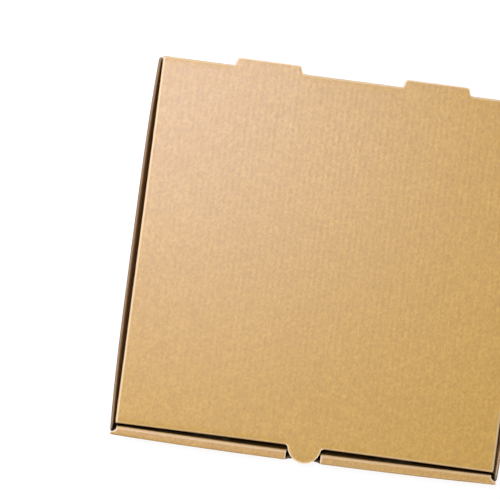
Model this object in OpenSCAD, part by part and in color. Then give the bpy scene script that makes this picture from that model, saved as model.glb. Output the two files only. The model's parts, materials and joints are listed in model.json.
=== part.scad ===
// Folded pizza box: one die-cut sheet of corrugated board, folded into a tray and a hinged lid.
// The front faces -Y, +Z is up, and the origin is at the middle of the tray's base.

/* [Board] */
// Thickness of the corrugated board
board_t = 2.8; // [1.5:0.1:3.5]

/* [Tray] */
// Outside width of the tray at its corners
tray_w = 414; // [350:1:500]
// Outside depth of the tray
tray_d = 407; // [320:1:500]
// Height of the back wall, up to the crease that carries the lid
back_h = 44; // [36:1:60]
// Rise of the side walls above the lid's underside
side_rise = 2; // [0.5:0.1:4]
// Outward bow of the side walls' top edge, at the middle of its length
side_bow = 3.6; // [0.5:0.1:8]
// Width of the cuts that part a corner flap from the panels above and below it
corner_cut = 1; // [0.5:0.1:3]
// Clearance between a corner flap and the panel that it lies against
layer_gap = 0.2; // [0.1:0.05:0.6]
// Distance between a back cut-out and the corner flap beside it
rear_corner_gap = 14; // [4:1:25]

/* [Rolled front wall] */
// Rise of the rolled wall above the lid's underside
roll_rise = 2; // [0.5:0.1:4]
// Slack between the corner flaps and the roll's inner panel
roll_slack = 1.2; // [0:0.1:4]
// Clearance between each end of the roll and the side wall
roll_end_gap = 3.2; // [0.5:0.1:6]
// Length of the corner flaps held inside the roll
front_corner_l = 62; // [30:1:100]
// Width of each lock tab, from the inner panel into the floor
lock_w = 40; // [20:1:60]
// Distance of each lock tab from the middle of the box
lock_x = 100; // [60:1:130]
// Clearance around a lock tab in its floor slot
lock_gap = 0.5; // [0.2:0.1:1]

/* [Lid] */
// Clearance between each side of the lid and the side wall
lid_side_gap = 1.2; // [0.6:0.1:5]
// Clearance that the front tuck flap keeps from the rolled wall as the lid swings
lid_swing_gap = 1.1; // [0.5:0.1:4]
// Gap between the front tuck flap and the floor
front_flap_gap = 4; // [2:0.5:14]
// Gap between the side tuck flaps and the floor
side_flap_gap = 8; // [2:0.5:18]
// Gap between each end of a side tuck flap and what it faces
side_flap_end = 5; // [2:0.5:20]
// Slant of each end of a side tuck flap
side_flap_slant = 10; // [2:0.5:20]

/* [Thumb tab] */
// Radius of the thumb tab
thumb_r = 18; // [14:0.5:24]
// Reach of the thumb tab past the lid's front fold
thumb_reach = 17; // [10:0.5:18]
// Fillet at each side of the thumb tab's base
thumb_fillet = 2.5; // [0.5:0.1:4]
// Clearance between the thumb tab and its notch in the front wall
thumb_notch_gap = 0.5; // [0.3:0.1:3]

/* [Back tabs] */
// Distance of each back tab from the middle of the box
back_tab_x = 90; // [60:1:110]
// Width of a back tab at its outer edge
back_tab_w = 68; // [40:1:80]
// Reach of a back tab past the back wall
back_tab_reach = 8.3; // [6:0.1:14]
// Widening of a back tab on each side, from its outer edge to its base
back_tab_flare = 2.5; // [0.5:0.1:4]
// Radius of a back tab's outer corners
back_tab_r = 4; // [1:0.1:5]
// Fillet at each side of a back tab's base
back_tab_fillet = 2; // [0.5:0.1:3]
// Clearance that a back tab keeps from the cut-out that it swings through
back_cut_gap = 0.5; // [0.3:0.1:2]

/* [Hidden] */
$fn = 48;
board_colour = [0.78, 0.60, 0.37];
// How far a cutting shape runs past the faces that it cuts
past = 1;
// Number of facets along a bowed side wall
bow_steps = 16;

// Faces and levels of the tray
side_out = tray_w / 2;
side_in = side_out - board_t;
side_top = back_h + side_rise;
back_out = tray_d / 2;
back_in = back_out - board_t;
back_half = side_in - corner_cut;
front_out = -tray_d / 2;
front_in = front_out + board_t;
roll_top = back_h + roll_rise;
roll_in = front_in + 2 * (board_t + layer_gap) + roll_slack;
roll_half = side_in - roll_end_gap;
corner_front = front_in + layer_gap;
corner_back = back_in - layer_gap;
corner_low = board_t + corner_cut;
wall_front = corner_front + board_t;
wall_back = corner_back - board_t;

// Faces and levels of the lid. The front tuck flap's lower edge swings furthest forward and sets its depth.
lid_half = side_in - lid_side_gap;
lid_top = back_h + board_t;
front_flap_low = board_t + front_flap_gap;
side_flap_low = board_t + side_flap_gap;
flap_drop = back_h - front_flap_low;
lid_swing = back_out - roll_in - lid_swing_gap;
lid_front = back_out - sqrt(lid_swing * lid_swing - flap_drop * flap_drop);

// Back tabs, and the cut-outs that leave room for their swing
tab_half = back_tab_w / 2 + back_tab_flare;
tab_lean = atan(back_tab_flare / back_tab_reach);
tab_base_half = tab_half + back_tab_fillet * (1 - sin(tab_lean)) / cos(tab_lean);
cut_half = tab_base_half + board_t * tan(tab_lean) + back_cut_gap;
cut_reach = norm([back_tab_reach, board_t]) + back_cut_gap;
rear_corner_end = back_tab_x + cut_half + rear_corner_gap;

// Points along an arc, from one angle to another
function arc(centre, r, from, to, steps = 8) =
    [for (i = [0 : steps]) let (a = from + (to - from) * i / steps) centre + r * [cos(a), sin(a)]];

// The same points on the other side of the middle, in reverse order
function mirrored(points) = [for (i = [len(points) - 1 : -1 : 0]) [-points[i].x, points[i].y]];

// Right half of a tab with leaning sides: y runs outwards from the fold, and the root lies behind it
function tab_points(half, reach, r, fillet, root) =
    let (corner_x = half - (r + (reach - r) * sin(tab_lean)) / cos(tab_lean),
         base_x = half + fillet * (1 - sin(tab_lean)) / cos(tab_lean))
    concat([[base_x, -root]],
           fillet > 0 ? arc([base_x, fillet], fillet, 270, 180 + tab_lean) : [[half, 0]],
           arc([corner_x, reach - r], r, tab_lean, 90));

module tab_outline(half, reach, r, fillet, root) {
    points = tab_points(half, reach, r, fillet, root);
    polygon(concat(points, mirrored(points)));
}

// Half-round thumb tab with a fillet at each side of its base: y runs outwards from the fold
module thumb_outline(root) {
    centre = [0, thumb_reach - thumb_r];
    fillet_x = sqrt(pow(thumb_r + thumb_fillet, 2) - pow(thumb_fillet - centre.y, 2));
    fillet_centre = [fillet_x, thumb_fillet];
    touch = centre + (fillet_centre - centre) * thumb_r / (thumb_r + thumb_fillet);
    intersection() {
        translate(centre) circle(thumb_r);
        panel([-fillet_x, 0], [fillet_x, thumb_reach + past]);
    }
    for (side = [0, 1]) mirror([side, 0]) difference() {
        polygon([[0, 0], [fillet_x, 0], touch]);
        translate(fillet_centre) circle(thumb_fillet);
    }
    if (root > 0) panel([-fillet_x, -root], [fillet_x, 0]);
}

// Rectangle between two corners
module panel(low, high) {
    translate(low) square(high - low);
}

// Rounded outside of a fold: a quarter disc about the fold's inner corner
module fold(inner, right, up) {
    intersection() {
        translate(inner) circle(board_t);
        translate(inner - [right ? 0 : board_t, up ? 0 : board_t]) square(board_t);
    }
}

// A section in (y, z), drawn out along X
module along_x(from, to) {
    translate([from, 0, 0]) rotate([90, 0, 90]) linear_extrude(to - from) children();
}

// A section in (x, z), drawn out along Y
module along_y(from, to) {
    translate([0, to, 0]) rotate([90, 0, 0]) linear_extrude(to - from) children();
}

// A plan in (x, y), drawn out along Z
module along_z(from, to) {
    translate([0, 0, from]) linear_extrude(to - from) children();
}

module both_sides() {
    children();
    mirror([1, 0, 0]) children();
}

// Floor with the slots that hold the front wall's lock tabs
module floor_panel() {
    along_z(0, board_t) difference() {
        panel([-side_in, front_in], [side_in, back_in]);
        for (side = [-1, 1])
            panel([side * lock_x - lock_w / 2 - lock_gap, roll_in - board_t - lock_gap],
                  [side * lock_x + lock_w / 2 + lock_gap, roll_in + lock_gap]);
    }
}

// How far the top of a side wall bows outwards at a place along it
function bow(y) = side_bow * (1 - pow((2 * y - wall_front - wall_back) / (wall_back - wall_front), 2));

// Section of the bowed right side wall at a place along it, from its inner lower corner round
function wall_section(y) = [[side_in, y, board_t], [side_out, y, board_t],
                            [side_out + bow(y), y, side_top], [side_in + bow(y), y, side_top]];

// Right side wall: straight at its lower fold, and bowed outwards along its raw top edge
module bowed_wall() {
    last = 4 * bow_steps;
    step = (wall_back - wall_front) / bow_steps;
    points = [for (i = [0 : bow_steps]) each wall_section(wall_front + step * i)];
    strips = [for (i = [0 : 4 : last - 4], k = [0 : 3])
              let (a = i + k, b = i + (k + 1) % 4) each [[a, b, b + 4], [a, b + 4, a + 4]]];
    ends = [[0, 3, 2, 1], [last, last + 1, last + 2, last + 3]];
    polyhedron(points, concat(strips, ends));
}

// Right side wall on its lower fold, with a corner flap folded in at each end.
// The fold at its rear end is as high as the wall itself.
module side_wall() {
    along_y(wall_front, wall_back) fold([side_in, board_t], true, false);
    bowed_wall();
    along_z(corner_low, roll_top - board_t - corner_cut) {
        fold([side_in, wall_front], true, false);
        panel([side_in - front_corner_l, corner_front], [side_in, wall_front]);
    }
    along_z(corner_low, side_top) fold([side_in, wall_back], true, true);
    along_z(corner_low, back_h - corner_cut) panel([rear_corner_end, wall_back], [side_in, corner_back]);
}

// Back wall between the rounded rear corners, with the two cut-outs that the back tabs leave
module back_wall() {
    along_x(-back_half, back_half) fold([back_in, board_t], true, false);
    difference() {
        along_x(-back_half, back_half) panel([back_in, board_t], [back_out, back_h]);
        for (side = [-1, 1])
            along_y(back_in - past, back_out + past) translate([side * back_tab_x, back_h])
                mirror([0, 1]) tab_outline(cut_half, cut_reach, back_tab_r, 0, past);
    }
}

// Front wall, rolled over the corner flaps and locked into the floor
module front_wall() {
    along_x(-side_in, side_in) fold([front_in, board_t], false, false);
    difference() {
        union() {
            along_x(-side_out, side_out) {
                panel([front_out, board_t], [front_in, roll_top - board_t]);
                fold([front_in, roll_top - board_t], false, true);
            }
            along_z(roll_top - board_t, roll_top) roll_top_outline();
            along_x(-roll_half, roll_half) {
                fold([roll_in - board_t, roll_top - board_t], true, true);
                panel([roll_in - board_t, board_t + layer_gap], [roll_in, roll_top - board_t]);
            }
        }
        along_y(front_out - past, roll_in + past) thumb_notch();
    }
    for (side = [-1, 1])
        along_x(side * lock_x - lock_w / 2, side * lock_x + lock_w / 2)
            panel([roll_in - board_t, 0], [roll_in, board_t + layer_gap]);
}

// Plan of the roll's flat top, with its ends cut back past the side walls
module roll_top_outline() {
    right = [[side_out, front_in], [side_in - corner_cut, wall_front - corner_cut],
             [roll_half, roll_in - board_t]];
    polygon(concat(right, mirrored(right)));
}

// Half-round notch that the thumb tab lies in
module thumb_notch() {
    notch_r = thumb_r + thumb_notch_gap;
    translate([0, back_h]) circle(notch_r);
    panel([-notch_r, back_h], [notch_r, roll_top + past]);
}

module tray() {
    color(board_colour) {
        floor_panel();
        both_sides() side_wall();
        back_wall();
        front_wall();
    }
}

// Top panel of the lid with its rounded front, back and side folds
module lid_panel() {
    along_x(-lid_half + board_t, lid_half - board_t)
        panel([lid_front + board_t, back_h], [back_out - board_t, lid_top]);
    along_x(-lid_half, lid_half) {
        fold([lid_front + board_t, back_h], false, true);
        fold([back_out - board_t, back_h], true, true);
    }
    both_sides() along_y(lid_front + board_t, back_out - board_t)
        fold([lid_half - board_t, back_h], true, true);
}

// Front tuck flap with the hole that the thumb tab leaves
module front_flap() {
    along_y(lid_front, lid_front + board_t) difference() {
        panel([-lid_half, front_flap_low], [lid_half, back_h]);
        translate([0, back_h]) mirror([0, 1]) thumb_outline(0);
    }
}

// Right tuck flap with slanted ends
module side_flap() {
    flap_front = lid_front + board_t + side_flap_end;
    flap_back = wall_back - side_flap_end;
    along_x(lid_half - board_t, lid_half)
        polygon([[flap_front, back_h], [flap_front + side_flap_slant, side_flap_low],
                 [flap_back - side_flap_slant, side_flap_low], [flap_back, back_h]]);
}

module lid() {
    color(board_colour) {
        lid_panel();
        front_flap();
        both_sides() side_flap();
        along_z(back_h, lid_top) {
            translate([0, lid_front]) mirror([0, 1]) thumb_outline(board_t);
            for (side = [-1, 1])
                translate([side * back_tab_x, back_out])
                    tab_outline(tab_half, back_tab_reach, back_tab_r, back_tab_fillet, board_t);
        }
    }
}

tray();
lid();
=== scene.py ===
"""Folded pizza box: liners and fluting of true corrugated board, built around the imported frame."""

import json
import math

import bmesh
import bpy
import numpy as np
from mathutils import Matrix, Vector


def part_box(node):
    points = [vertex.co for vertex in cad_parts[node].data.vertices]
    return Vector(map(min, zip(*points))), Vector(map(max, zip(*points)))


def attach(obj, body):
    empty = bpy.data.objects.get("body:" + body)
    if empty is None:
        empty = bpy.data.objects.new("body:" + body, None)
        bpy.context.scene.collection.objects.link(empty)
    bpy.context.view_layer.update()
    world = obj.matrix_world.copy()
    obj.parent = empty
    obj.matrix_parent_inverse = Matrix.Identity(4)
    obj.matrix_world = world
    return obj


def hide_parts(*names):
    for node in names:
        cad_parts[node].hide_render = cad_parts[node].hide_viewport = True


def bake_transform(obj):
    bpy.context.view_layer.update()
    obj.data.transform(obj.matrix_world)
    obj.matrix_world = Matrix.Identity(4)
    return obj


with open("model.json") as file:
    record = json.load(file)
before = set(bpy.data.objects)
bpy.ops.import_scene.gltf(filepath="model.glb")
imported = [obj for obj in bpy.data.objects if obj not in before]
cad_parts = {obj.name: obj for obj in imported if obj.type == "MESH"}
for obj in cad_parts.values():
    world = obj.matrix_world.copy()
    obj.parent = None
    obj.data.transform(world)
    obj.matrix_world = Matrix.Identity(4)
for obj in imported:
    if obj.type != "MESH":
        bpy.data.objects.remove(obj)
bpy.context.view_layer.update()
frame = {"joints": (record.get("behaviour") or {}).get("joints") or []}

bl_info = {
    "name": "Corrugated pizza box",
    "version": (1, 0, 0),
    "blender": (4, 5, 0),
    "location": "3D View > Sidebar > Pizza box",
    "description": "Builds a folded corrugated pizza box around its packed frame",
    "category": "Object",
}

TRAY_LOW, TRAY_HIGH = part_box("tray")
LID_LOW, LID_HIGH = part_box("lid")
HINGE = next(joint["pos_m"] for joint in frame["joints"] if joint["name"] == "lid_hinge")

# One millimetre, in metres
MM = 0.001

# Places are rounded to this many decimals of a metre, and TINY is a little more than that rounding
DIGITS = 7
TINY = 2e-7

# Angles around a fold, and shares of the crushed strip where rows of points follow its slope
QUARTER = np.linspace(0.0, math.pi / 2, num=6)
NEAR_EDGE = (0.14, 0.32, 0.6, 1.0)

# Share of the crush that the outer face takes, and powers by which crush and the folds' wear and painted
# highlight fade
OUTER_CRUSH = 0.2
CRUSH_FADE = 1.2
WEAR_AND_HIGHLIGHT_FADE = 0.6

# Wear and painted highlight of the other folds, as shares of those on the lid's side folds: paler paper that
# is partly real wear and partly a painted highlight
ROLL_WEAR_AND_HIGHLIGHT = 0.5
LID_FRONT_WEAR_AND_HIGHLIGHT = 0.35
LID_BACK_WEAR_AND_HIGHLIGHT = 0.85

# Powers that shape the bows of the walls
SIDE_BOW_POWER = 3.5
FRONT_BOW_POWER = 2.5

# Where the bow of the lid's front edge ends, from -1 at the front to 1 at the back, and the share of it that
# the thumb tab's tip doesn't follow
LID_BOW_END = 0.4
THUMB_STRAIGHT = 0.6

# Height over which a rear corner's bulge grows, and the angle from which an edge is drawn sharp
EAR_RISE = 12 * MM
SHARP_ANGLE = math.radians(38)


# Settings that a user would change


def length(name, description, millimetres):
    """A length property, given in millimetres and kept in metres."""
    metres = millimetres * MM
    return bpy.props.FloatProperty(
        name=name, description=description, default=metres, subtype="DISTANCE", unit="LENGTH", precision=5
    )


def factor(name, description, default):
    """A property from 0 to 1."""
    return bpy.props.FloatProperty(
        name=name, description=description, default=default, min=0.0, max=1.0, subtype="FACTOR"
    )


def power(name, description, watts):
    """A lamp's power property."""
    return bpy.props.FloatProperty(name=name, description=description, default=watts, unit="POWER")


def colour(name, description, default):
    """A linear colour property."""
    return bpy.props.FloatVectorProperty(
        name=name, description=description, default=default, size=3, min=0.0, max=1.0, subtype="COLOR"
    )


class BoxBoard(bpy.types.PropertyGroup):
    """The corrugated board: its make-up and its paper."""

    pitch: length("Flute pitch", "Distance from one flute to the next", 6.25)
    liner: length("Liner", "Thickness of each liner sheet", 0.3)
    medium: length("Medium", "Thickness of the fluted paper", 0.22)
    washboard: length("Washboard", "Dip of the liners between two flutes", 0.04)
    edge: length("Edge thickness", "Thickness of the board where the die has crushed its cut edge", 1.4)
    crush: length("Crush", "Width of the crushed strip along a cut edge", 2.4)
    # Wear along the folds: paler paper, partly real wear and partly a painted highlight
    wear_and_highlight: factor("Wear", "Wear of the outer liner along the folds", 0.95)
    kraft: colour("Lid kraft", "Colour of the lid's outer liner", (0.475, 0.272, 0.033))
    tray_kraft: colour("Tray kraft", "Colour of the tray's outer liner", (0.47, 0.27, 0.056))
    inside: colour("Inside", "Colour of the inner liner", (0.46, 0.27, 0.10))
    # Pale colour of crushed edges, also of the folds' wear and painted highlight
    worn_and_highlight: colour("Worn edge", "Colour of the outer liner where the die has crushed it", (0.72, 0.53, 0.31))
    cut: colour("Cut edge", "Colour of the cut paper", (0.47, 0.335, 0.215))
    fluting: colour("Fluting", "Colour of the fluted paper", (0.36, 0.24, 0.13))
    roughness: factor("Roughness", "Roughness of the outer liners", 0.40)


class BoxFolds(bpy.types.PropertyGroup):
    """How the folded panels give and bow."""

    side_bow: length("Side bow", "How far a side wall's top edge bows outwards at its middle", 3.6)
    side_lean: length("Side lean", "How far a side wall's top edge leans outwards at its ends", 0.65)
    corner_ear: length("Corner ear", "How far the top of a rear corner bulges backwards", 1.6)
    corner_lip: length("Corner lip", "How far the top of a rear corner reaches in towards the lid", 1.0)
    hinge_strip: length("Hinge strip", "Reach of the bending inner liner on each side of the crease", 1.5)
    roll_bow_front: length("Roll bow, front", "Outward bow of the roll's front edge at its middle", 2.5)
    roll_bow_rear: length("Roll bow, rear", "Outward bow of the roll's rear edge at its middle", 1.9)
    lid_bow: length("Lid bow", "Inward bow of the lid's front edge at its middle", 0.7)
    lid_sag: length("Lid sag", "Sag of the lid's middle", 0.8)


class BoxCuts(bpy.types.PropertyGroup):
    """Die-cut outlines and the gaps between the panels."""

    thumb_r: length("Thumb tab radius", "Radius of the thumb tab", 18.0)
    thumb_reach: length("Thumb tab reach", "Reach of the thumb tab past the lid's front fold", 17.0)
    thumb_fillet: length("Thumb tab fillet", "Fillet at each side of the thumb tab's base", 2.5)
    notch_gap: length("Notch gap", "Clearance between the thumb tab and its notch", 0.5)
    tab_x: length("Back tab place", "Distance of each back tab from the middle", 90.0)
    tab_w: length("Back tab width", "Width of a back tab at its outer edge", 68.0)
    tab_flare: length("Back tab flare", "Widening of a back tab on each side, towards its base", 2.5)
    tab_r: length("Back tab radius", "Radius of a back tab's outer corners", 4.0)
    tab_fillet: length("Back tab fillet", "Fillet at each side of a back tab's base", 2.0)
    cut_gap: length("Cut-out gap", "Clearance between a back tab and the cut-out that it swings through", 0.5)
    corner_cut: length("Corner cut", "Width of the cuts beside a corner flap", 1.0)
    layer_gap: length("Layer gap", "Clearance between a corner flap and the panel beside it", 0.2)
    roll_depth: length("Roll depth", "Depth of the rolled front wall at its ends", 10.0)
    roll_end_gap: length("Roll end gap", "Clearance between each end of the roll and the side wall", 3.2)
    front_corner: length("Front corner flap", "Length of the corner flaps inside the roll", 62.0)
    rear_corner_gap: length("Rear corner gap", "Distance from a back cut-out to the corner flap", 14.0)
    lock_w: length("Lock tab width", "Width of each lock tab of the roll", 40.0)
    lock_x: length("Lock tab place", "Distance of each lock tab from the middle", 100.0)
    lock_gap: length("Lock tab gap", "Clearance around a lock tab in its floor slot", 0.5)
    side_flap_gap: length("Side flap gap", "Gap between the lid's side flaps and the floor", 8.0)
    side_flap_end: length("Side flap end", "Gap between each end of a side flap and what it faces", 5.0)
    side_flap_slant: length("Side flap slant", "Slant of each end of a side flap", 10.0)


class BoxStage(bpy.types.PropertyGroup):
    """Camera, floor and lamps."""

    camera_x: length("Camera X", "Place of the camera across the box", -84.88)
    camera_y: length("Camera Y", "Place of the camera along the box", 10.91)
    camera_height: length("Camera height", "Height of the camera above the lid", 2000.0)
    camera_turn: bpy.props.FloatProperty(
        name="Camera turn", description="Turn of the picture about the upright", default=math.radians(7.526),
        subtype="ANGLE", unit="ROTATION"
    )
    camera_lens: bpy.props.FloatProperty(
        name="Lens", description="Focal length of the lens, in millimetres", default=135.49, unit="CAMERA"
    )
    key_power: power("Key lamp", "Power of the soft lamp overhead", 39.0)
    edge_power: power("Edge lamp", "Power of the lower lamp on the left, a little behind the box", 30.0)
    front_power: power("Front lamp", "Power of the wide lamp before the box, further away", 50.0)
    sky: bpy.props.FloatProperty(
        name="Surroundings", description="Brightness of the white surroundings", default=0.09, min=0.0
    )


class Sizes:
    """Faces and levels of the folded box, in metres, from the frame and the settings."""

    def __init__(self, scene):
        self.board, self.folds, self.cuts = scene.box_board, scene.box_folds, scene.box_cuts
        cuts = self.cuts
        self.t = LID_HIGH.z - HINGE[2]
        self.crease = HINGE[2]
        self.lid_top = LID_HIGH.z
        self.side_top = TRAY_HIGH.z
        self.side_out = TRAY_HIGH.x - self.folds.side_bow
        self.side_in = self.side_out - self.t
        self.back_out = HINGE[1]
        self.back_in = self.back_out - self.t
        self.back_half = self.side_in - cuts.corner_cut
        self.front_out = TRAY_LOW.y
        self.front_in = self.front_out + self.t
        self.roll_in = self.front_out + cuts.roll_depth
        self.roll_half = self.side_in - cuts.roll_end_gap
        self.roll_fold = self.roll_in - self.t
        self.roll_under = self.side_top - self.t
        self.corner_front = self.front_in + cuts.layer_gap
        self.corner_back = self.back_in - cuts.layer_gap
        self.corner_low = self.t + cuts.corner_cut
        self.wall_front = self.corner_front + self.t
        self.wall_back = self.corner_back - self.t
        self.lock_in = cuts.lock_x - cuts.lock_w / 2
        self.lock_out = cuts.lock_x + cuts.lock_w / 2
        self.slot_in = self.lock_in - cuts.lock_gap
        self.slot_out = self.lock_out + cuts.lock_gap
        self.slot_near = self.roll_fold - cuts.lock_gap
        self.slot_far = self.roll_in + cuts.lock_gap
        self.lid_half = LID_HIGH.x
        self.lid_flat = self.lid_half - self.t
        self.lid_front = LID_LOW.y + cuts.thumb_reach
        self.lid_fold_front = self.lid_front + self.t
        self.lid_fold_back = self.back_out - self.t
        self.flap_low = LID_LOW.z
        self.side_flap_low = self.t + cuts.side_flap_gap
        self.side_flap_front = self.lid_fold_front + cuts.side_flap_end
        self.side_flap_back = self.wall_back - cuts.side_flap_end
        self.notch_r = cuts.thumb_r + cuts.notch_gap
        self.thumb = thumb_outline(cuts)
        self.thumb_base = self.thumb[0][0]
        reach = LID_HIGH.y - self.back_out
        lean = math.atan(cuts.tab_flare / reach)
        self.tab = tab_outline(cuts.tab_w / 2 + cuts.tab_flare, reach, cuts.tab_r, cuts.tab_fillet, lean)
        self.tab_base = self.tab[0][0]
        self.cut_base = self.tab_base + self.t * math.tan(lean) + cuts.cut_gap
        cut_reach = math.hypot(reach, self.t) + cuts.cut_gap
        self.cut_out = tab_outline(self.cut_base, cut_reach, cuts.tab_r, 0.0, lean)
        self.rear_corner_end = cuts.tab_x + self.cut_base + cuts.rear_corner_gap


# Outlines of the die-cut tabs: the right half of each, from its base to its middle, as (across, outwards)


def arc(centre, radius, first, last, steps=6):
    """Points along an arc, between two angles in radians."""
    angles = np.linspace(first, last, steps + 1)
    return [(centre[0] + radius * math.cos(a), centre[1] + radius * math.sin(a)) for a in angles]


def thumb_outline(cuts):
    """Half-round thumb tab with a fillet at each side of its base."""
    rise = cuts.thumb_reach - cuts.thumb_r
    reach = cuts.thumb_r + cuts.thumb_fillet
    fillet_x = math.sqrt(reach**2 - (cuts.thumb_fillet - rise) ** 2)
    lean = math.atan2(cuts.thumb_fillet - rise, fillet_x)
    fillet = arc((fillet_x, cuts.thumb_fillet), cuts.thumb_fillet, 1.5 * math.pi, math.pi + lean, steps=5)
    return fillet + arc((0.0, rise), cuts.thumb_r, lean, math.pi / 2, steps=16)[1:]


def tab_outline(half, reach, radius, fillet, lean):
    """Tab with leaning sides, rounded outer corners and a fillet at each side of its base."""
    corner_x = half - (radius + (reach - radius) * math.sin(lean)) / math.cos(lean)
    base_x = half + fillet * (1 - math.sin(lean)) / math.cos(lean)
    foot = [(half, 0.0)]
    if fillet:
        foot = arc((base_x, fillet), fillet, 1.5 * math.pi, math.pi + lean, steps=4)
    return foot + arc((corner_x, reach - radius), radius, lean, math.pi / 2) + [(0.0, reach)]


def outline_reach(outline, middle, across):
    """How far an outline reaches past its base line, at places across it, and 0 beside it."""
    points = np.array(outline)[::-1]
    return np.interp(np.abs(across - middle), points[:, 0], points[:, 1])


def outline_places(outline, middle):
    """Places across, where the outline has its corner points."""
    return [middle + side * point[0] for point in outline for side in (-1, 1)]


def outline_edges(outline, middle, base, facing):
    """Both halves of an outline as cut edges, which reach from the base line forwards or backwards."""
    return [[(middle + side * x, base + facing * reach) for x, reach in outline] for side in (-1, 1)]


# Sampling of the panels


def ease(share):
    """Smooth step from 0 to 1."""
    share = np.clip(share, 0.0, 1.0)
    return share * share * (3 - 2 * share)


def within(places, low, high):
    """The places from low to high."""
    return places[(places >= low - TINY) & (places <= high + TINY)]


def flute_places(low, high, pitch, extra=(), per_flute=6, merge=0.12):
    """Places across the flutes, close enough to draw the waves, with extra places where outlines break.
    Places closer than the share merge of a step become one."""
    step = pitch / per_flute
    first, last = math.ceil(low / step), math.floor(high / step)
    places = np.array([low, high, *(step * np.arange(first, last + 1)), *extra])
    places = np.unique(np.round(within(places, low, high), DIGITS))
    fixed = np.round(np.array([low, high, *extra]), DIGITS)
    keep = [places[0]]
    for place in places[1:]:
        if place - keep[-1] > merge * step:
            keep.append(place)
        elif np.any(np.abs(fixed - place) < TINY):
            keep[-1] = place
    return np.array(keep)


def along_places(low, high, count, margin_low=0.0, margin_high=0.0):
    """Places along the flutes: evenly spread, with closer ones at a crushed end."""
    near = np.array([0.0, *NEAR_EDGE])
    start = near * margin_low if margin_low else np.zeros(1)
    end = near[::-1] * margin_high if margin_high else np.zeros(1)
    middle = np.linspace(low + start[-1], high - end[0], count + 1)[1:-1]
    return np.concatenate([low + start, middle, high - end])


def distance_to(edges, u, v):
    """Distance of each place from the nearest stretch of some polylines."""
    best = np.full(u.shape, np.inf)
    for line in edges:
        points = np.asarray(line, float)
        for a, b in zip(points[:-1], points[1:]):
            run = b - a
            share = ((u - a[0]) * run[0] + (v - a[1]) * run[1]) / max(run @ run, TINY**2)
            share = np.clip(share, 0.0, 1.0)
            best = np.minimum(best, np.hypot(u - a[0] - share * run[0], v - a[1] - share * run[1]))
    return best


class Sheet:
    """Patches of one paper sheet, welded into one mesh."""

    def __init__(self):
        self.points, self.faces, self.raw, self.flute = [], [], [], []
        self.count = 0

    def patch(self, points, outside, raw, flute):
        """Adds a grid of points whose front side looks towards the points in outside."""
        columns, rows = points.shape[:2]
        index = self.count + np.arange(columns * rows).reshape(columns, rows)
        quads = np.stack([index[:-1, :-1], index[1:, :-1], index[1:, 1:], index[:-1, 1:]], -1).reshape(-1, 4)
        normal = np.cross(points[1:, :-1] - points[:-1, :-1], points[:-1, 1:] - points[:-1, :-1])
        if np.sum(normal * (outside - points)[:-1, :-1]) < 0:
            quads = quads[:, ::-1]
        self.points.append(points.reshape(-1, 3))
        self.faces.append(quads)
        self.raw.append(np.broadcast_to(raw, (columns, rows)).ravel())
        self.flute.append(np.broadcast_to(flute, (columns, rows)).ravel())
        self.count += columns * rows

    def build(self, name, thickness, offset, materials, weld=0.004 * MM):
        """Welds the patches, gives the paper its thickness and makes the object."""
        mesh = bpy.data.meshes.new(name)
        mesh.from_pydata(np.concatenate(self.points).tolist(), [], np.concatenate(self.faces).tolist())
        for layer, values in (("raw_edge", self.raw), ("flute", self.flute)):
            attribute = mesh.attributes.new(layer, "FLOAT", "POINT")
            attribute.data.foreach_set("value", np.concatenate(values).astype(np.float32))
        grid = bmesh.new()
        grid.from_mesh(mesh)
        bmesh.ops.remove_doubles(grid, verts=grid.verts, dist=weld)
        bmesh.ops.dissolve_degenerate(grid, edges=grid.edges, dist=weld)
        grid.to_mesh(mesh)
        grid.free()
        for material in materials:
            mesh.materials.append(material)
        piece = bpy.data.objects.new(name, mesh)
        bpy.context.scene.collection.objects.link(piece)
        paper = piece.modifiers.new("paper", "SOLIDIFY")
        paper.thickness = thickness
        paper.offset = offset
        paper.material_offset_rim = len(materials) - 1
        view = bpy.context.evaluated_depsgraph_get()
        piece.data = bpy.data.meshes.new_from_object(piece.evaluated_get(view))
        piece.data.name = name
        piece.modifiers.clear()
        bpy.data.meshes.remove(mesh)
        piece.data.polygons.foreach_set("use_smooth", [True] * len(piece.data.polygons))
        piece.data.set_sharp_from_angle(angle=SHARP_ANGLE)
        return piece


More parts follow.
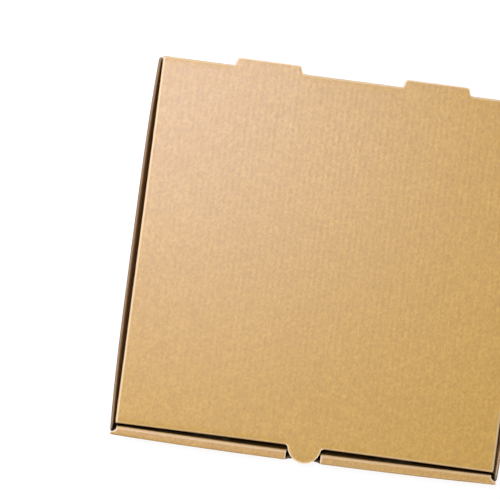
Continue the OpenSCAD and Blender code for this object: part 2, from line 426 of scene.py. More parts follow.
class Board:
    """Outer liner, inner liner and fluting of one folded part of the box."""

    def __init__(self, sizes):
        self.sizes = sizes
        self.outer, self.inner, self.fluting = Sheet(), Sheet(), Sheet()

    def panel(self, place, across, along, edges=(), inner_end=None):
        """Adds a panel. place(u, v, d) is the point at depth d below the outer face, u across and v along the
        flutes. along is one row of places, or a row for each place across. edges are the panel's cut edges.
        inner_end says how far along the inner liner runs, for each place across."""
        sizes, board = self.sizes, self.sizes.board
        u, v = grid_of(across, along)
        close = ease(1 - distance_to(edges, u, v) / board.crush)
        wave = np.sin(2 * math.pi * u / board.pitch)
        dip = board.washboard * (1 - close) / 2
        dip[[0, -1], :] = 0.0
        dip[:, [0, -1]] = 0.0
        crushed = (sizes.t - board.edge) * close
        outer_face = OUTER_CRUSH * crushed
        inner_face = sizes.t - (1 - OUTER_CRUSH) * crushed
        step = np.full(u.shape, board.liner)
        raw = close**CRUSH_FADE
        depth = outer_face + dip * (1 + wave)
        self.outer.patch(place(u, v, depth), place(u, v, depth - step), raw, wave)
        inner_v = v if inner_end is None else np.minimum(v, inner_end[:, None])
        depth = inner_face - dip * (1 - wave)
        self.inner.patch(place(u, inner_v, depth), place(u, inner_v, depth + step), raw, -wave)
        u, v = trimmed(u, v)
        swing = (inner_face - outer_face) / 2 - board.liner - board.washboard - board.medium
        depth = (inner_face + outer_face) / 2 + np.maximum(swing, 0.0) * wave
        self.fluting.patch(place(u, v, depth), place(u, v, depth - step), raw, wave)

    def fold(self, place, across, worn_and_highlight=0.0, ends=()):
        """Adds the outer liner's round strip over a fold. place(u, angle, radius) is about the inner corner.
        The wear along its middle, paler paper that is partly wear and partly a painted highlight, is given
        next, and ends are the places across where it is cut."""
        u, angle = grid_of(across, QUARTER)
        radius = np.full(u.shape, self.sizes.t)
        # Paler along the fold's middle: partly wear, partly a painted highlight
        raw = worn_and_highlight * np.clip(np.sin(2 * angle), 0.0, 1.0) ** WEAR_AND_HIGHLIGHT_FADE
        for end in ends:
            raw = np.maximum(raw, ease(1 - np.abs(u - end) / self.sizes.board.crush) ** CRUSH_FADE)
        outside = place(u, angle, 2 * radius)
        self.outer.patch(place(u, angle, radius), outside, raw, np.zeros(u.shape))


def grid_of(across, along):
    """Two arrays with the places across and along of each point of a grid."""
    along = np.asarray(along, float)
    if along.ndim == 1:
        along = np.broadcast_to(along, (len(across), len(along)))
    return np.broadcast_to(np.asarray(across)[:, None], along.shape).copy(), along.copy()


def trimmed(u, v, trim=0.35 * MM):
    """The same grid, drawn in a little from its border, so that the fluting ends inside the liners."""
    u, v = u.copy(), v.copy()
    u[0] += trim
    u[-1] -= trim
    room = np.minimum(trim, np.abs(v[:, -1] - v[:, 0]) / 4)
    v[:, 0] += room * np.sign(v[:, -1] - v[:, 0])
    v[:, -1] -= room * np.sign(v[:, -1] - v[:, 0])
    return u, v


def points_of(x, y, z):
    """Array of points from arrays of coordinates."""
    return np.stack(np.broadcast_arrays(x, y, z), -1)


# Give of the panels


def side_give(sizes, y, z):
    """Outward bow of a side wall at a place along it and up it."""
    middle = (sizes.wall_front + sizes.wall_back) / 2
    share = np.minimum(np.abs(y - middle) / (sizes.wall_back - middle), 1.0)
    full = sizes.side_top - sizes.board.crush
    rise = np.clip((z - sizes.t) / (full - sizes.t), 0.0, 1.0)
    bow = (sizes.folds.side_bow - sizes.folds.side_lean) * (1 - share**SIDE_BOW_POWER)
    return (sizes.folds.side_lean + bow) * rise


def roll_give(sizes, x, y, z):
    """Forward bow of the rolled front wall: straight at the floor, and widest at the middle of its top."""
    share = np.minimum(np.abs(x) / sizes.side_out, 1.0)
    front = sizes.folds.roll_bow_front * (1 - share**FRONT_BOW_POWER)
    rear = sizes.folds.roll_bow_rear * np.cos(share * math.pi / 2)
    depth = np.clip((y - sizes.front_out) / (sizes.roll_in - sizes.front_out), 0.0, 1.0)
    rise = 1 - (1 - np.clip(z / sizes.side_top, 0.0, 1.0)) ** 2
    return -(front + (rear - front) * depth) * rise


def lid_give(sizes, points):
    """The lid's points with its sag and the inward bow of its front edge."""
    x, y, z = points[..., 0], points[..., 1], points[..., 2]
    middle = (sizes.lid_front + sizes.back_out) / 2
    along = (y - middle) / (sizes.back_out - middle)
    across = x / sizes.lid_half
    level = ease((z - sizes.crease + sizes.t) / sizes.t)
    sag = sizes.folds.lid_sag * np.clip(1 - across**2, 0, 1) * np.clip(1 - along**2, 0, 1) * level
    bow = sizes.folds.lid_bow * np.clip(np.cos(across * math.pi / 2), 0, 1)
    bow = bow * ease((LID_BOW_END - along) / (LID_BOW_END + 1))
    bow = bow * (1 - THUMB_STRAIGHT * ease((sizes.lid_front - y) / sizes.cuts.thumb_reach))
    return points_of(x, y + bow, z - sag)


# The tray, panel by panel


def tray_places(sizes):
    """Places across the tray that its floor, front wall and back wall share."""
    cuts = sizes.cuts
    ends = [sizes.side_in, sizes.roll_half, sizes.back_half]
    ends += [sizes.slot_in, sizes.lock_in, sizes.lock_out, sizes.slot_out]
    extra = [sizes.notch_r * math.sin(angle) for angle in np.linspace(-math.pi / 2, math.pi / 2, num=41)]
    for side in (-1, 1):
        extra += [side * place for place in ends]
        extra += outline_places(sizes.cut_out, side * cuts.tab_x)
        extra += [side * (sizes.side_out - share * sizes.board.crush) for share in NEAR_EDGE]
    return flute_places(-sizes.side_out, sizes.side_out, sizes.board.pitch, extra)


def tray_rows(sizes):
    """Places along the tray that its floor and side walls share."""
    crush = sizes.board.crush
    rows = along_places(sizes.wall_front, sizes.wall_back, 16, margin_low=crush, margin_high=crush)
    rows = [sizes.front_in, sizes.slot_near, sizes.slot_far, *rows, sizes.back_in]
    return np.unique(np.round(rows, DIGITS))


def floor_panels(board, places, rows):
    """The floor, with the two slots that hold the roll's lock tabs. Its outer face lies at height 0."""
    sizes = board.sizes
    near, far = sizes.slot_near, sizes.slot_far
    across = within(places, -sizes.side_in, sizes.side_in)
    stretches = (
        (-sizes.side_in, -sizes.slot_out),
        (-sizes.slot_in, sizes.slot_in),
        (sizes.slot_out, sizes.side_in),
    )
    board.panel(points_of, across, within(rows, sizes.front_in, near))
    for low, high in stretches:
        board.panel(points_of, within(places, low, high), within(rows, near, far))
    board.panel(points_of, across, within(rows, far, sizes.back_in))


def side_wall(board, rows, side):
    """A side wall on its lower fold, with a corner flap folded in at each end. The rear flap's fold is as
    high as the wall, and the top of it bulges back and reaches in."""
    sizes, cuts = board.sizes, board.sizes.cuts
    t, crush = sizes.t, sizes.board.crush
    front_top, rear_top = sizes.roll_under - cuts.corner_cut, sizes.crease - cuts.corner_cut
    levels = [sizes.side_top - share * crush for share in NEAR_EDGE]
    levels += [sizes.corner_low, front_top, rear_top]
    up = flute_places(t, sizes.side_top, sizes.board.pitch, levels)
    along = within(rows, sizes.wall_front, sizes.wall_back)

    def wall(u, v, d):
        return points_of(side * (sizes.side_out - d + side_give(sizes, v, u)), v, u)

    def lower_fold(u, angle, radius):
        return points_of(side * (sizes.side_in + radius * np.sin(angle)), u, t - radius * np.cos(angle))

    top_edge = [(sizes.side_top, sizes.wall_front), (sizes.side_top, sizes.wall_back)]
    front_end = [(front_top, sizes.wall_front), (sizes.side_top, sizes.wall_front)]
    board.panel(wall, up, along, [top_edge, front_end])
    board.fold(lower_fold, along)

    corners = (
        (sizes.wall_front, -1, front_top, front_top, sizes.side_in - cuts.front_corner),
        (sizes.wall_back, 1, sizes.side_top, rear_top, sizes.rear_corner_end),
    )
    round_end = t * math.pi / 2
    for end, facing, fold_top, flap_top, reach in corners:
        ear_height = sizes.folds.corner_ear if facing > 0 else 0.0

        def bend(u, v, d):
            give = side_give(sizes, end, u) * np.cos(v / t)
            lip = ease((u - rear_top) / (sizes.side_top - rear_top))
            reach_in = sizes.folds.corner_lip * lip * np.sin(v / t) ** 2
            x = side * (sizes.side_in + give + (t - d) * np.cos(v / t) - reach_in)
            arch = np.sqrt(np.clip(np.sin((2 - lip) * v / t), 0.0, 1.0))
            ear = ear_height * ease((u - rear_top + EAR_RISE) / EAR_RISE) * arch
            return points_of(x, end + facing * ((t - d) * np.sin(v / t) + ear), u)

        def flap(u, v, d):
            return points_of(side * v, end + facing * (t - d), u)

        raised = []
        if fold_top > flap_top:
            raised = [[(fold_top, 0.0), (fold_top, round_end), (flap_top, round_end)]]
        board.panel(bend, within(up, sizes.corner_low, fold_top), QUARTER * t, raised)
        flap_end = [[(sizes.corner_low, reach), (flap_top, reach)]]
        flap_along = along_places(reach, sizes.side_in, 8, margin_low=crush)
        board.panel(flap, within(up, sizes.corner_low, flap_top), flap_along, flap_end)


def back_wall(board, places):
    """The back wall between the rear corners, with the cut-outs that the back tabs leave."""
    sizes, cuts = board.sizes, board.sizes.cuts
    across = within(places, -sizes.back_half, sizes.back_half)
    tops = np.full(across.shape, sizes.crease)
    inner_tops = tops - sizes.folds.hinge_strip
    edges = []
    for side in (-1, 1):
        end, middle = side * sizes.back_half, side * cuts.tab_x
        tops = tops - outline_reach(sizes.cut_out, middle, across)
        edges += [[(end, sizes.t), (end, sizes.crease)]]
        edges += outline_edges(sizes.cut_out, middle, sizes.crease, -1)
    along = np.array([along_places(sizes.t, top, 8, margin_high=sizes.board.crush) for top in tops])

    def wall(u, v, d):
        return points_of(u, sizes.back_out - d, v)

    def lower_fold(u, angle, radius):
        return points_of(u, sizes.back_in + radius * np.sin(angle), sizes.t - radius * np.cos(angle))

    board.panel(wall, across, along, edges, inner_tops)
    board.fold(lower_fold, across)


def front_wall(board, places):
    """The front wall, rolled over the corner flaps, with its thumb notch and lock tabs."""
    sizes, cuts = board.sizes, board.sizes.cuts
    t, crush = sizes.t, sizes.board.crush
    top, under = sizes.side_top, sizes.roll_under

    def given(points):
        x, y, z = points[..., 0], points[..., 1], points[..., 2]
        return points_of(x, y + roll_give(sizes, x, y, z), z)

    def outer_panel(u, v, d):
        return given(points_of(u, sizes.front_out + d, v))

    def inner_panel(u, v, d):
        return given(points_of(u, sizes.roll_in - d, v))

    def roll_top(u, v, d):
        return given(points_of(u, v, top - d))

    def lower_fold(u, angle, radius):
        return given(points_of(u, sizes.front_in - radius * np.sin(angle), t - radius * np.cos(angle)))

    def front_fold(u, angle, radius):
        return given(points_of(u, sizes.front_in - radius * np.cos(angle), under + radius * np.sin(angle)))

    def rear_fold(u, angle, radius):
        return given(points_of(u, sizes.roll_fold + radius * np.sin(angle), under + radius * np.cos(angle)))

    tops = np.minimum(sizes.crease - np.sqrt(np.maximum(sizes.notch_r**2 - places**2, 0.0)), under)
    notch = [(x, z) for x, z in zip(places, tops) if abs(x) <= sizes.notch_r]
    wall_ends = [[(side * sizes.side_out, t), (side * sizes.side_out, under)] for side in (-1, 1)]
    foot = t + cuts.layer_gap
    board.fold(lower_fold, within(places, -sizes.side_in, sizes.side_in))
    rows = np.array([along_places(t, z, 7, margin_high=crush) for z in tops])
    board.panel(outer_panel, places, rows, [notch, *wall_ends])
    held = np.abs(places) <= sizes.roll_half + TINY
    rows = np.array([along_places(foot, z, 7, margin_high=crush) for z in tops[held]])
    board.panel(inner_panel, places[held], rows, [notch])
    mitre = [
        (sizes.roll_half, sizes.roll_fold),
        (sizes.back_half, sizes.wall_front - cuts.corner_cut),
        (sizes.side_out, sizes.front_in),
    ]
    for side in (-1, 1):
        notch_x, end_x, inner_x = (side * x for x in (sizes.notch_r, sizes.side_out, sizes.roll_half))
        across = within(places, *sorted((notch_x, end_x)))
        inner_across = within(places, *sorted((notch_x, inner_x)))
        board.fold(front_fold, across, ends=(notch_x, end_x))
        # The roll's rear fold is paler along its middle: partly wear, partly a painted highlight
        board.fold(rear_fold, inner_across, ROLL_WEAR_AND_HIGHLIGHT * sizes.board.wear_and_highlight, (notch_x, inner_x))
        mitre_edge = [(side * x, y) for x, y in mitre]
        notch_side = [(notch_x, sizes.front_in), (notch_x, sizes.roll_fold)]
        rears = np.interp(np.abs(across), *zip(*mitre))
        rows = np.array([np.linspace(sizes.front_in, y, num=6) for y in rears])
        board.panel(roll_top, across, rows, [mitre_edge, notch_side])
        lock = within(places, *sorted((side * sizes.lock_in, side * sizes.lock_out)))
        board.panel(inner_panel, lock, np.linspace(cuts.layer_gap, foot, num=3))


def tray_board(sizes):
    """All panels of the tray."""
    board = Board(sizes)
    places, rows = tray_places(sizes), tray_rows(sizes)
    floor_panels(board, places, rows)
    for side in (-1, 1):
        side_wall(board, rows, side)
    back_wall(board, places)
    front_wall(board, places)
    return board


# The lid, panel by panel


def lid_places(sizes):
    """Places across the lid that its top, folds, tabs and front flap share."""
    cuts = sizes.cuts
    extra = [-sizes.lid_flat, sizes.lid_flat, *outline_places(sizes.thumb, 0.0)]
    for side in (-1, 1):
        extra += outline_places(sizes.tab, side * cuts.tab_x)
    return flute_places(-sizes.lid_half, sizes.lid_half, sizes.board.pitch, extra)


def lid_rows(sizes):
    """Places along the lid that its top, side folds and side flaps share."""
    rows = np.linspace(sizes.lid_fold_front, sizes.lid_fold_back, num=19)
    return np.unique(np.round([*rows, sizes.side_flap_front, sizes.side_flap_back], DIGITS))


def beside_tabs(sizes, half):
    """Stretches across the lid's back that lie beside and between two back tabs of a given half width."""
    tab_x, end = sizes.cuts.tab_x, sizes.lid_flat
    return (-end, -tab_x - half), (-tab_x + half, tab_x - half), (tab_x + half, end)


def lid_top(board, places, rows):
    """The flat top, its thumb tab and its two back tabs."""
    sizes, cuts = board.sizes, board.sizes.cuts

    def top(u, v, d):
        return lid_give(sizes, points_of(u, v, sizes.lid_top - d))

    across = within(places, -sizes.lid_flat, sizes.lid_flat)
    beside = np.abs(np.abs(across) - cuts.tab_x) > sizes.cut_base
    board.panel(top, across, rows, inner_end=sizes.lid_fold_back - sizes.folds.hinge_strip * beside)
    tabs = [(0.0, sizes.thumb, sizes.lid_fold_front, sizes.lid_front, -1)]
    tabs += [(side * cuts.tab_x, sizes.tab, sizes.lid_fold_back, sizes.back_out, 1) for side in (-1, 1)]
    for middle, outline, root, fold, facing in tabs:
        base = outline[0][0]
        across = within(places, middle - base, middle + base)
        tips = facing * fold + outline_reach(outline, middle, across)
        along = np.array([along_places(facing * root, tip, 5, margin_high=sizes.board.crush) for tip in tips])
        board.panel(top, across, facing * along, outline_edges(outline, middle, fold, facing))


def lid_folds(board, places, rows):
    """The round folds along the lid's front, back and sides, and its round corners."""
    sizes, wear_and_highlight = board.sizes, board.sizes.board.wear_and_highlight
    level = sizes.crease

    def front(u, angle, radius):
        y = sizes.lid_fold_front - radius * np.sin(angle)
        return lid_give(sizes, points_of(u, y, level + radius * np.cos(angle)))

    def back(u, angle, radius):
        y = sizes.lid_fold_back + radius * np.sin(angle)
        return lid_give(sizes, points_of(u, y, level + radius * np.cos(angle)))

    # Each fold is paler along its middle: partly wear, partly a painted highlight
    for low, high in ((-sizes.lid_flat, -sizes.thumb_base), (sizes.thumb_base, sizes.lid_flat)):
        board.fold(front, within(places, low, high), LID_FRONT_WEAR_AND_HIGHLIGHT * wear_and_highlight)
    for low, high in beside_tabs(sizes, sizes.tab_base):
        board.fold(back, within(places, low, high), LID_BACK_WEAR_AND_HIGHLIGHT * wear_and_highlight)
    for side in (-1, 1):

        def side_fold(u, angle, radius):
            x = side * (sizes.lid_flat + radius * np.sin(angle))
            return lid_give(sizes, points_of(x, u, level + radius * np.cos(angle)))

        board.fold(side_fold, rows, wear_and_highlight)
        for fold_y, facing in ((sizes.lid_fold_front, -1), (sizes.lid_fold_back, 1)):

            def corner(u, angle, radius):
                reach = radius * np.sin(angle)
                x = side * (sizes.lid_flat + reach * np.cos(u))
                y = fold_y + facing * reach * np.sin(u)
                return lid_give(sizes, points_of(x, y, level + radius * np.cos(angle)))

            board.fold(corner, QUARTER, wear_and_highlight)


def lid_flaps(board, places, rows):
    """The front tuck flap with the hole that the thumb tab leaves, and the side tuck flaps."""
    sizes, cuts = board.sizes, board.sizes.cuts
    crush = sizes.board.crush
    hole_margin = 0.6 * crush

    def front(u, v, d):
        return lid_give(sizes, points_of(u, sizes.lid_front + d, v))

    tops = sizes.crease - outline_reach(sizes.thumb, 0.0, places)
    along = np.array([along_places(sizes.flap_low, top, 6, crush, hole_margin) for top in tops])
    lower_edge = [(-sizes.lid_half, sizes.flap_low), (sizes.lid_half, sizes.flap_low)]
    board.panel(front, places, along, [lower_edge, *outline_edges(sizes.thumb, 0.0, sizes.crease, -1)])

    first, last = sizes.side_flap_front, sizes.side_flap_back
    shared = within(rows, first, last)
    low = sizes.side_flap_low
    for side in (-1, 1):
        up = flute_places(low, sizes.crease, sizes.board.pitch, [low + share * crush for share in NEAR_EDGE])

        def flap(u, v, d):
            return lid_give(sizes, points_of(side * (sizes.lid_half - d), v, u))

        slant = cuts.side_flap_slant * (sizes.crease - up) / (sizes.crease - low)
        share = (shared - first) / (last - first)
        along = (first + slant)[:, None] + share[None, :] * (last - first - 2 * slant)[:, None]
        front_end = [(sizes.crease, first), (low, first + cuts.side_flap_slant)]
        rear_end = [(low, last - cuts.side_flap_slant), (sizes.crease, last)]
        board.panel(flap, up, along, [front_end + rear_end])


def hinge_sheet(sizes):
    """Inner liner over the lid's crease, between and beside the back tabs."""
    sheet = Sheet()
    reach = sizes.folds.hinge_strip
    places = tray_places(sizes)
    inset = 5 * TINY
    for low, high in beside_tabs(sizes, sizes.cut_base):
        across = np.array([low, *within(places, low + inset, high - inset), high])
        u, run = grid_of(across, np.linspace(-reach, reach, num=13))
        dip = sizes.board.washboard * (1 - np.sin(2 * math.pi * u / sizes.board.pitch)) / 2
        y = sizes.back_in + dip - np.maximum(run, 0.0)
        z = sizes.crease + dip + np.minimum(run, 0.0)
        inside = points_of(u, y - reach, z - reach)
        sheet.patch(points_of(u, y, z), inside, np.zeros(u.shape), np.zeros(u.shape))
    return sheet


def lid_board(sizes):
    """All panels of the lid."""
    board = Board(sizes)
    places, rows = lid_places(sizes), lid_rows(sizes)
    lid_top(board, places, rows)
    lid_folds(board, places, rows)
    lid_flaps(board, places, rows)
    return board


# Paper


# Size, detail and scale along each axis of every kind of grain
GRAIN = {
    "tone": (90 * MM, 2.0, (1.0, 1.0, 1.0)),
    "cloud": (7 * MM, 3.0, (1.0, 1.0, 1.0)),
    "fibre": (1.6 * MM, 2.0, (1.0, 0.45, 1.0)),
    "fleck": (2.4 * MM, 1.0, (1.0, 0.8, 1.0)),
}

# Shares of a paper's colour in its dark and in its light grain
DARK_SHARES = (0.80, 0.76, 0.70)
LIGHT_SHARES = (1.14, 1.17, 1.24)

# Tint of the gloss, spread of the roughness and relief of the fibres
GLOSS_TINT = (1.0, 1.0, 1.24, 1.0)
ROUGHNESS_SPREAD = 0.01
FIBRE_RELIEF = {"Strength": 0.15, "Distance": 0.05 * MM}

# How much rougher the inner liner is than the outer one, and the roughness of fluting and cut edges
INNER_ROUGHER = 0.15
FLUTING_ROUGHNESS = 0.75
CUT_ROUGHNESS = 0.8

# Painted shade deep in a gap of the rolled front wall, darkening the paper's colour: how far off other paper
# counts, its colour, the least share of the paper's own tone, and how far behind the wall's rear face the
# painted shade starts to fade and ends
GAP_REACH = 12 * MM
PAINTED_GAP_SHADE = (0.012, 0.006, 0.002, 1.0)
GAP_LEAST = 0.12
ROLL_EDGE = (0.2 * MM, 1.2 * MM)

# How open a place is, from 0 to 1, where that painted shade is full and where it ends
GAP_LIMITS = (0.08, 0.5)
INNER_GAP_LIMITS = (0.4, 0.9)
CUT_GAP_LIMITS = (0.45, 0.95)


def plug(tree, socket, value):
    """Links a socket to another node's output, or gives it a constant."""
    if isinstance(value, bpy.types.NodeSocket):
        tree.links.new(value, socket)
    else:
        socket.default_value = value


def add_node(tree, kind, at, **values):
    """Adds a shader node. Each value is a setting of it, or a link or a constant for one of its sockets."""
    node = tree.nodes.new(kind)
    node.location = at
    for name, value in values.items():
        if hasattr(node, name):
            setattr(node, name, value)
        else:
            plug(tree, node.inputs[name.replace("_", " ")], value)
    return node


def mix_colour(tree, at, share, first, second):
    """Mixes two colours. Each of the three values is a link or a constant. The colours' sockets share their
    names with others, so they go by number."""
    node = add_node(tree, "ShaderNodeMix", at, data_type="RGBA", Factor=share)
    plug(tree, node.inputs[6], first)
    plug(tree, node.inputs[7], second)
    return node.outputs[2]


def noise(tree, at, place, size, detail, scales, roughness=0.6):
    """Noise whose features are about size metres wide, and longer along an axis of smaller scale."""
    beside = (at[0] - 200, at[1])
    scaled = add_node(tree, "ShaderNodeMapping", beside, vector_type="POINT", Vector=place, Scale=scales)
    look = {"Scale": 1.0 / size, "Detail": detail, "Roughness": roughness}
    return add_node(tree, "ShaderNodeTexNoise", at, Vector=scaled.outputs["Vector"], **look).outputs["Fac"]


def ramp(tree, at, value, low, high, to_low=0.0, to_high=1.0):
    """Maps a value between two limits to another range, and holds it there."""
    limits = {"From_Min": low, "From_Max": high, "To_Min": to_low, "To_Max": to_high}
    return add_node(tree, "ShaderNodeMapRange", at, clamp=True, Value=value, **limits).outputs["Result"]


def larger(tree, at, first, second):
    """The larger of two linked values."""
    node = add_node(tree, "ShaderNodeMath", at, operation="MAXIMUM")
    tree.links.new(first, node.inputs[0])
    tree.links.new(second, node.inputs[1])
    return node.outputs[0]


def tinted(base, shares):
    """A colour with each of its values multiplied by a share, up to 1, and opaque."""
    return (*(min(1.0, value * share) for value, share in zip(base, shares)), 1.0)


def paint_gap_shade(tree, place, shade, limits, roll):
    """A paper's colour with shade painted in, darker deep in a gap, as far back as the rolled front wall's
    rear face at roll.
    """
    open_sky = add_node(tree, "ShaderNodeAmbientOcclusion", (-100, 250), samples=8, Distance=GAP_REACH)
    deep = ramp(tree, (50, 250), open_sky.outputs["AO"], *limits, GAP_LEAST)
    parts = add_node(tree, "ShaderNodeSeparateXYZ", (-500, 700), Vector=place)
    behind = ramp(tree, (-300, 700), parts.outputs["Y"], *(roll + reach for reach in ROLL_EDGE))
    lit = larger(tree, (200, 400), deep, behind)
    return mix_colour(tree, (350, 250), lit, PAINTED_GAP_SHADE, shade)


def paper_material(
    name, base, edge_and_highlight_colour, roughness, mottle=0.65, streak=0.105, gap_limits=GAP_LIMITS, roll=None
):
    """Kraft paper: cloudy tone, fibres, flecks, faint flute streaks, paler crushed edges and paler folds,
    whose paleness is partly wear and partly a painted highlight. roll is the place along the box of the
    rolled front wall's rear face, up to which shade deep in a gap is painted into the paper's colour."""
    material = bpy.data.materials.new(name)
    material.use_nodes = True
    tree = material.node_tree
    shader = tree.nodes["Principled BSDF"]
    place = add_node(tree, "ShaderNodeTexCoord", (-1500, 0)).outputs["Object"]
    grain = {}
    for row, (kind, look) in enumerate(GRAIN.items()):
        grain[kind] = noise(tree, (-1100, 400 - 250 * row), place, *look)
    wave = add_node(tree, "ShaderNodeAttribute", (-1100, -600), attribute_name="flute").outputs["Fac"]
    # Pale crushed edges, and pale folds whose paleness is partly a painted highlight
    edge = add_node(tree, "ShaderNodeAttribute", (-1100, -850), attribute_name="raw_edge").outputs["Fac"]
    dark, light = tinted(base, DARK_SHARES), tinted(base, LIGHT_SHARES)
    # What each layer follows, the limits that it is read between, its strength and its colour
    layers = (
        (grain["tone"], (0.3, 0.7), 0.35, light),
        (grain["cloud"], (0.35, 0.7), mottle, dark),
        (grain["fibre"], (0.45, 0.75), 0.6, light),
        (grain["fleck"], (0.38, 0.72), 1.0, dark),
        (wave, (-0.2, 1.0), streak, dark),
        (edge, (0.0, 0.8), 0.9, (*edge_and_highlight_colour, 1.0)),
    )
    shade = (*base, 1.0)
    for row, (value, limits, strength, tint) in enumerate(layers):
        share = ramp(tree, (-900, 400 - 250 * row), value, *limits, to_high=strength)
        shade = mix_colour(tree, (-700 + 150 * row, 400 - 100 * row), share, shade, tint)
    # Shade deep in a gap, painted into the colour
    if roll:
        shade = paint_gap_shade(tree, place, shade, gap_limits, roll)
    smooth, rough = roughness - ROUGHNESS_SPREAD, roughness + ROUGHNESS_SPREAD
    gloss = ramp(tree, (-700, -200), grain["cloud"], 0.3, 0.7, smooth, rough)
    relief = add_node(tree, "ShaderNodeBump", (50, -400), Height=grain["fibre"], **FIBRE_RELIEF)
    look = {"Base Color": shade, "Roughness": gloss, "Normal": relief.outputs["Normal"]}
    for name, value in (*look.items(), ("Specular Tint", GLOSS_TINT)):
        plug(tree, shader.inputs[name], value)
    return material


def inner_material(name, board, roll=None):
    """Inner liner: rougher than the outer one."""
    roughness = board.roughness + INNER_ROUGHER
    return paper_material(name, board.inside, board.cut, roughness, gap_limits=INNER_GAP_LIMITS, roll=roll)


def fluting_material(name, board, roll=None):
    """Fluted paper between the liners: dull, with no streaks."""
    return paper_material(name, board.fluting, board.cut, FLUTING_ROUGHNESS, streak=0.0, roll=roll)


def cut_material(board, roll=None):
    """Cut edge of the paper: pale, rough and fibrous."""
    look = {"mottle": 0.8, "streak": 0.0, "gap_limits": CUT_GAP_LIMITS}
    return paper_material("cut paper", board.cut, board.cut, CUT_ROUGHNESS, roll=roll, **look)


# Operators: one for each group of pieces, and one for the stage


def build_board(board, body, kraft, roll=None):
    """Makes the liners and the fluting of a folded part, riding its body and standing for its node."""
    paper = board.sizes.board
    cut = cut_material(paper, roll)
    outer = paper_material(body + " outer liner", kraft, paper.worn_and_highlight, paper.roughness, roll=roll)
    inner = inner_material(body + " inner liner", paper, roll)
    fluted = fluting_material(body + " fluting", paper, roll)
    sheets = (
        (board.outer, body + "_outer_liner", paper.liner, -1.0, outer),
        (board.inner, body + "_inner_liner", paper.liner, -1.0, inner),
        (board.fluting, body + "_fluting", paper.medium, 0.0, fluted),
    )
    for sheet, name, thickness, offset, material in sheets:
        piece = sheet.build(name, thickness, offset, [material, cut])
        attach(piece, body)
        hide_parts(body)


class BOX_OT_tray(bpy.types.Operator):
    """Build the tray: floor, side walls, corner flaps, back wall and rolled front wall"""

    bl_idname = "pizza_box.tray"
    bl_label = "Tray"

    def execute(self, context):
        sizes = Sizes(context.scene)
        # The tray's paper gets shade painted in deep in the gaps of its rolled front wall
        build_board(tray_board(sizes), "tray", sizes.board.tray_kraft, sizes.roll_in)
        return {"FINISHED"}


class BOX_OT_lid(bpy.types.Operator):
    """Build the lid: top, tuck flaps, thumb tab and back tabs"""

    bl_idname = "pizza_box.lid"
    bl_label = "Lid"

    def execute(self, context):
        sizes = Sizes(context.scene)
        build_board(lid_board(sizes), "lid", sizes.board.kraft)
        return {"FINISHED"}


class BOX_OT_hinge(bpy.types.Operator):
    """Build the inner liner that bends at the lid's crease"""

    bl_idname = "pizza_box.hinge"
    bl_label = "Hinge"

    def execute(self, context):
        sizes = Sizes(context.scene)
        paper, reach = sizes.board, sizes.folds.hinge_strip
        materials = [inner_material("hinge inner liner", paper), cut_material(paper)]
        piece = hinge_sheet(sizes).build("hinge_inner_liner", paper.liner, -1.0, materials)
        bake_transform(piece)
        return {"FINISHED"}


class BOX_OT_stage(bpy.types.Operator):
    """Set the camera, the pale floor and the soft lamps"""

    bl_idname = "pizza_box.stage"
    bl_label = "Stage"

    def execute(self, context):
        scene, stage = context.scene, context.scene.box_stage
        scene.view_settings.view_transform = "Standard"
        make_camera(scene, stage)
        make_floor(scene)
        make_surroundings(scene, stage.sky)
        make_lamp(scene, "key lamp", stage.key_power, **KEY_LAMP)
        make_lamp(scene, "edge lamp", stage.edge_power, **EDGE_LAMP)
        make_lamp(scene, "front lamp", stage.front_power, **FRONT_LAMP)
        return {"FINISHED"}


# Soft lamps: the place and the width of each, in metres, and the tint of the key lamp
KEY_LAMP = {"place": (-0.39, 0.39, 2.4), "size": 0.65, "tint": (0.97, 1.0, 1.2)}
EDGE_LAMP = {"place": (-1.65, 0.72, 1.2), "size": 0.9}
FRONT_LAMP = {"place": (0.6, -2.8, 2.8), "size": 1.6}


def make_camera(scene, stage, sight=50.0):
    """Camera that looks straight down on the lid, turned about the upright."""
    data = bpy.data.cameras.new("camera")
    data.type = "PERSP"
    data.lens = stage.camera_lens
    data.clip_end = sight
    camera = bpy.data.objects.new("camera", data)
    camera.location = (stage.camera_x, stage.camera_y, LID_HIGH.z + stage.camera_height)
    camera.rotation_euler = (0.0, 0.0, stage.camera_turn)
    scene.collection.objects.link(camera)
    scene.camera = camera


def seen_directly(tree, at):
    """1 for camera, glossy and transmission rays, and 0 for the others."""
    path = add_node(tree, "ShaderNodeLightPath", at)
    total = path.outputs["Is Camera Ray"]
    for number, name in enumerate(("Is Glossy Ray", "Is Transmission Ray")):
        total = larger(tree, (at[0] + 200 + 180 * number, at[1]), total, path.outputs[name])
    return total


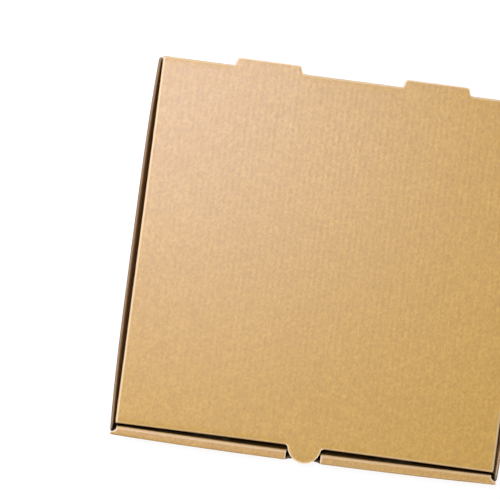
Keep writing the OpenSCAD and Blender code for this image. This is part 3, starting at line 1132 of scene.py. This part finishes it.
def make_floor(scene, half=4.0, white=0.2, near=0.87, far=1.0, fade=(0.3, 0.9), bounce=0.8):
    """Wide pale floor that keeps the box's shadow, shows as white further out and throws light back up. fade
    gives the distances from the middle between which its glow goes from near to far."""
    mesh = bpy.data.meshes.new("floor")
    corners = [(-half, -half, 0.0), (half, -half, 0.0), (half, half, 0.0), (-half, half, 0.0)]
    mesh.from_pydata(corners, [], [(0, 1, 2, 3)])
    floor = bpy.data.objects.new("floor", mesh)
    scene.collection.objects.link(floor)
    material = bpy.data.materials.new("pale floor")
    material.use_nodes = True
    tree = material.node_tree
    tree.nodes.clear()
    diffuse = add_node(tree, "ShaderNodeBsdfDiffuse", (0, 0), Color=(white, white, white, 1.0))
    place = add_node(tree, "ShaderNodeTexCoord", (-1100, -450)).outputs["Object"]
    away = add_node(tree, "ShaderNodeVectorMath", (-900, -450), operation="LENGTH", Vector=place)
    shown = ramp(tree, (-700, -450), away.outputs["Value"], *fade, near, far)
    choice = {"Factor": seen_directly(tree, (-900, -200)), "A": bounce, "B": shown}
    strength = add_node(tree, "ShaderNodeMix", (-200, -200), data_type="FLOAT", **choice)
    glow = add_node(tree, "ShaderNodeEmission", (0, -200), Strength=strength.outputs[0])
    total = add_node(tree, "ShaderNodeAddShader", (200, 0))
    tree.links.new(diffuse.outputs[0], total.inputs[0])
    tree.links.new(glow.outputs[0], total.inputs[1])
    add_node(tree, "ShaderNodeOutputMaterial", (400, 0), Surface=total.outputs[0])
    mesh.materials.append(material)


def make_surroundings(scene, strength):
    """White surroundings that light the box softly and show as white."""
    world = bpy.data.worlds.new("surroundings")
    scene.world = world
    world.use_nodes = True
    tree = world.node_tree
    tree.nodes.clear()
    white = (1.0, 1.0, 1.0, 1.0)
    lit = add_node(tree, "ShaderNodeBackground", (0, 0), Color=white, Strength=strength)
    shown = add_node(tree, "ShaderNodeBackground", (0, -200), Color=white, Strength=1.0)
    mix = add_node(tree, "ShaderNodeMixShader", (200, 0), Fac=seen_directly(tree, (-700, 200)))
    tree.links.new(lit.outputs[0], mix.inputs[1])
    tree.links.new(shown.outputs[0], mix.inputs[2])
    add_node(tree, "ShaderNodeOutputWorld", (400, 0), Surface=mix.outputs[0])


def make_lamp(scene, name, watts, place, size, tint=(1.0, 1.0, 1.0)):
    """Soft square lamp that looks at the middle of the lid."""
    data = bpy.data.lights.new(name, "AREA")
    data.shape = "SQUARE"
    data.size = size
    data.energy = watts
    data.color = tint
    lamp = bpy.data.objects.new(name, data)
    lamp.location = place
    lamp.rotation_mode = "QUATERNION"
    aim = Vector((0.0, 0.0, LID_HIGH.z))
    lamp.rotation_quaternion = (aim - Vector(place)).to_track_quat("-Z", "Y")
    scene.collection.objects.link(lamp)


class BOX_PT_panel(bpy.types.Panel):
    """Lists the box's pieces and settings"""

    bl_idname = "BOX_PT_panel"
    bl_label = "Pizza box"
    bl_space_type = "VIEW_3D"
    bl_region_type = "UI"
    bl_category = "Pizza box"

    def draw(self, context):
        for operator in OPERATORS:
            self.layout.operator(operator.bl_idname)
        for name in SETTINGS:
            group = getattr(context.scene, name)
            column = self.layout.column(heading=name)
            for item in group.__annotations__:
                column.prop(group, item)


OPERATORS = (BOX_OT_tray, BOX_OT_lid, BOX_OT_hinge, BOX_OT_stage)
SETTINGS = {"box_board": BoxBoard, "box_folds": BoxFolds, "box_cuts": BoxCuts, "box_stage": BoxStage}


def register():
    for item in (*SETTINGS.values(), *OPERATORS, BOX_PT_panel):
        bpy.utils.register_class(item)
    for name, group in SETTINGS.items():
        setattr(bpy.types.Scene, name, bpy.props.PointerProperty(type=group))


def unregister():
    for name in SETTINGS:
        delattr(bpy.types.Scene, name)
    for item in (BOX_PT_panel, *reversed(OPERATORS), *reversed(SETTINGS.values())):
        bpy.utils.unregister_class(item)


def main():
    """Builds the box and its stage."""
    register()
    bpy.ops.pizza_box.tray()
    bpy.ops.pizza_box.lid()
    bpy.ops.pizza_box.hinge()
    bpy.ops.pizza_box.stage()


if __name__ == "__main__":
    main()
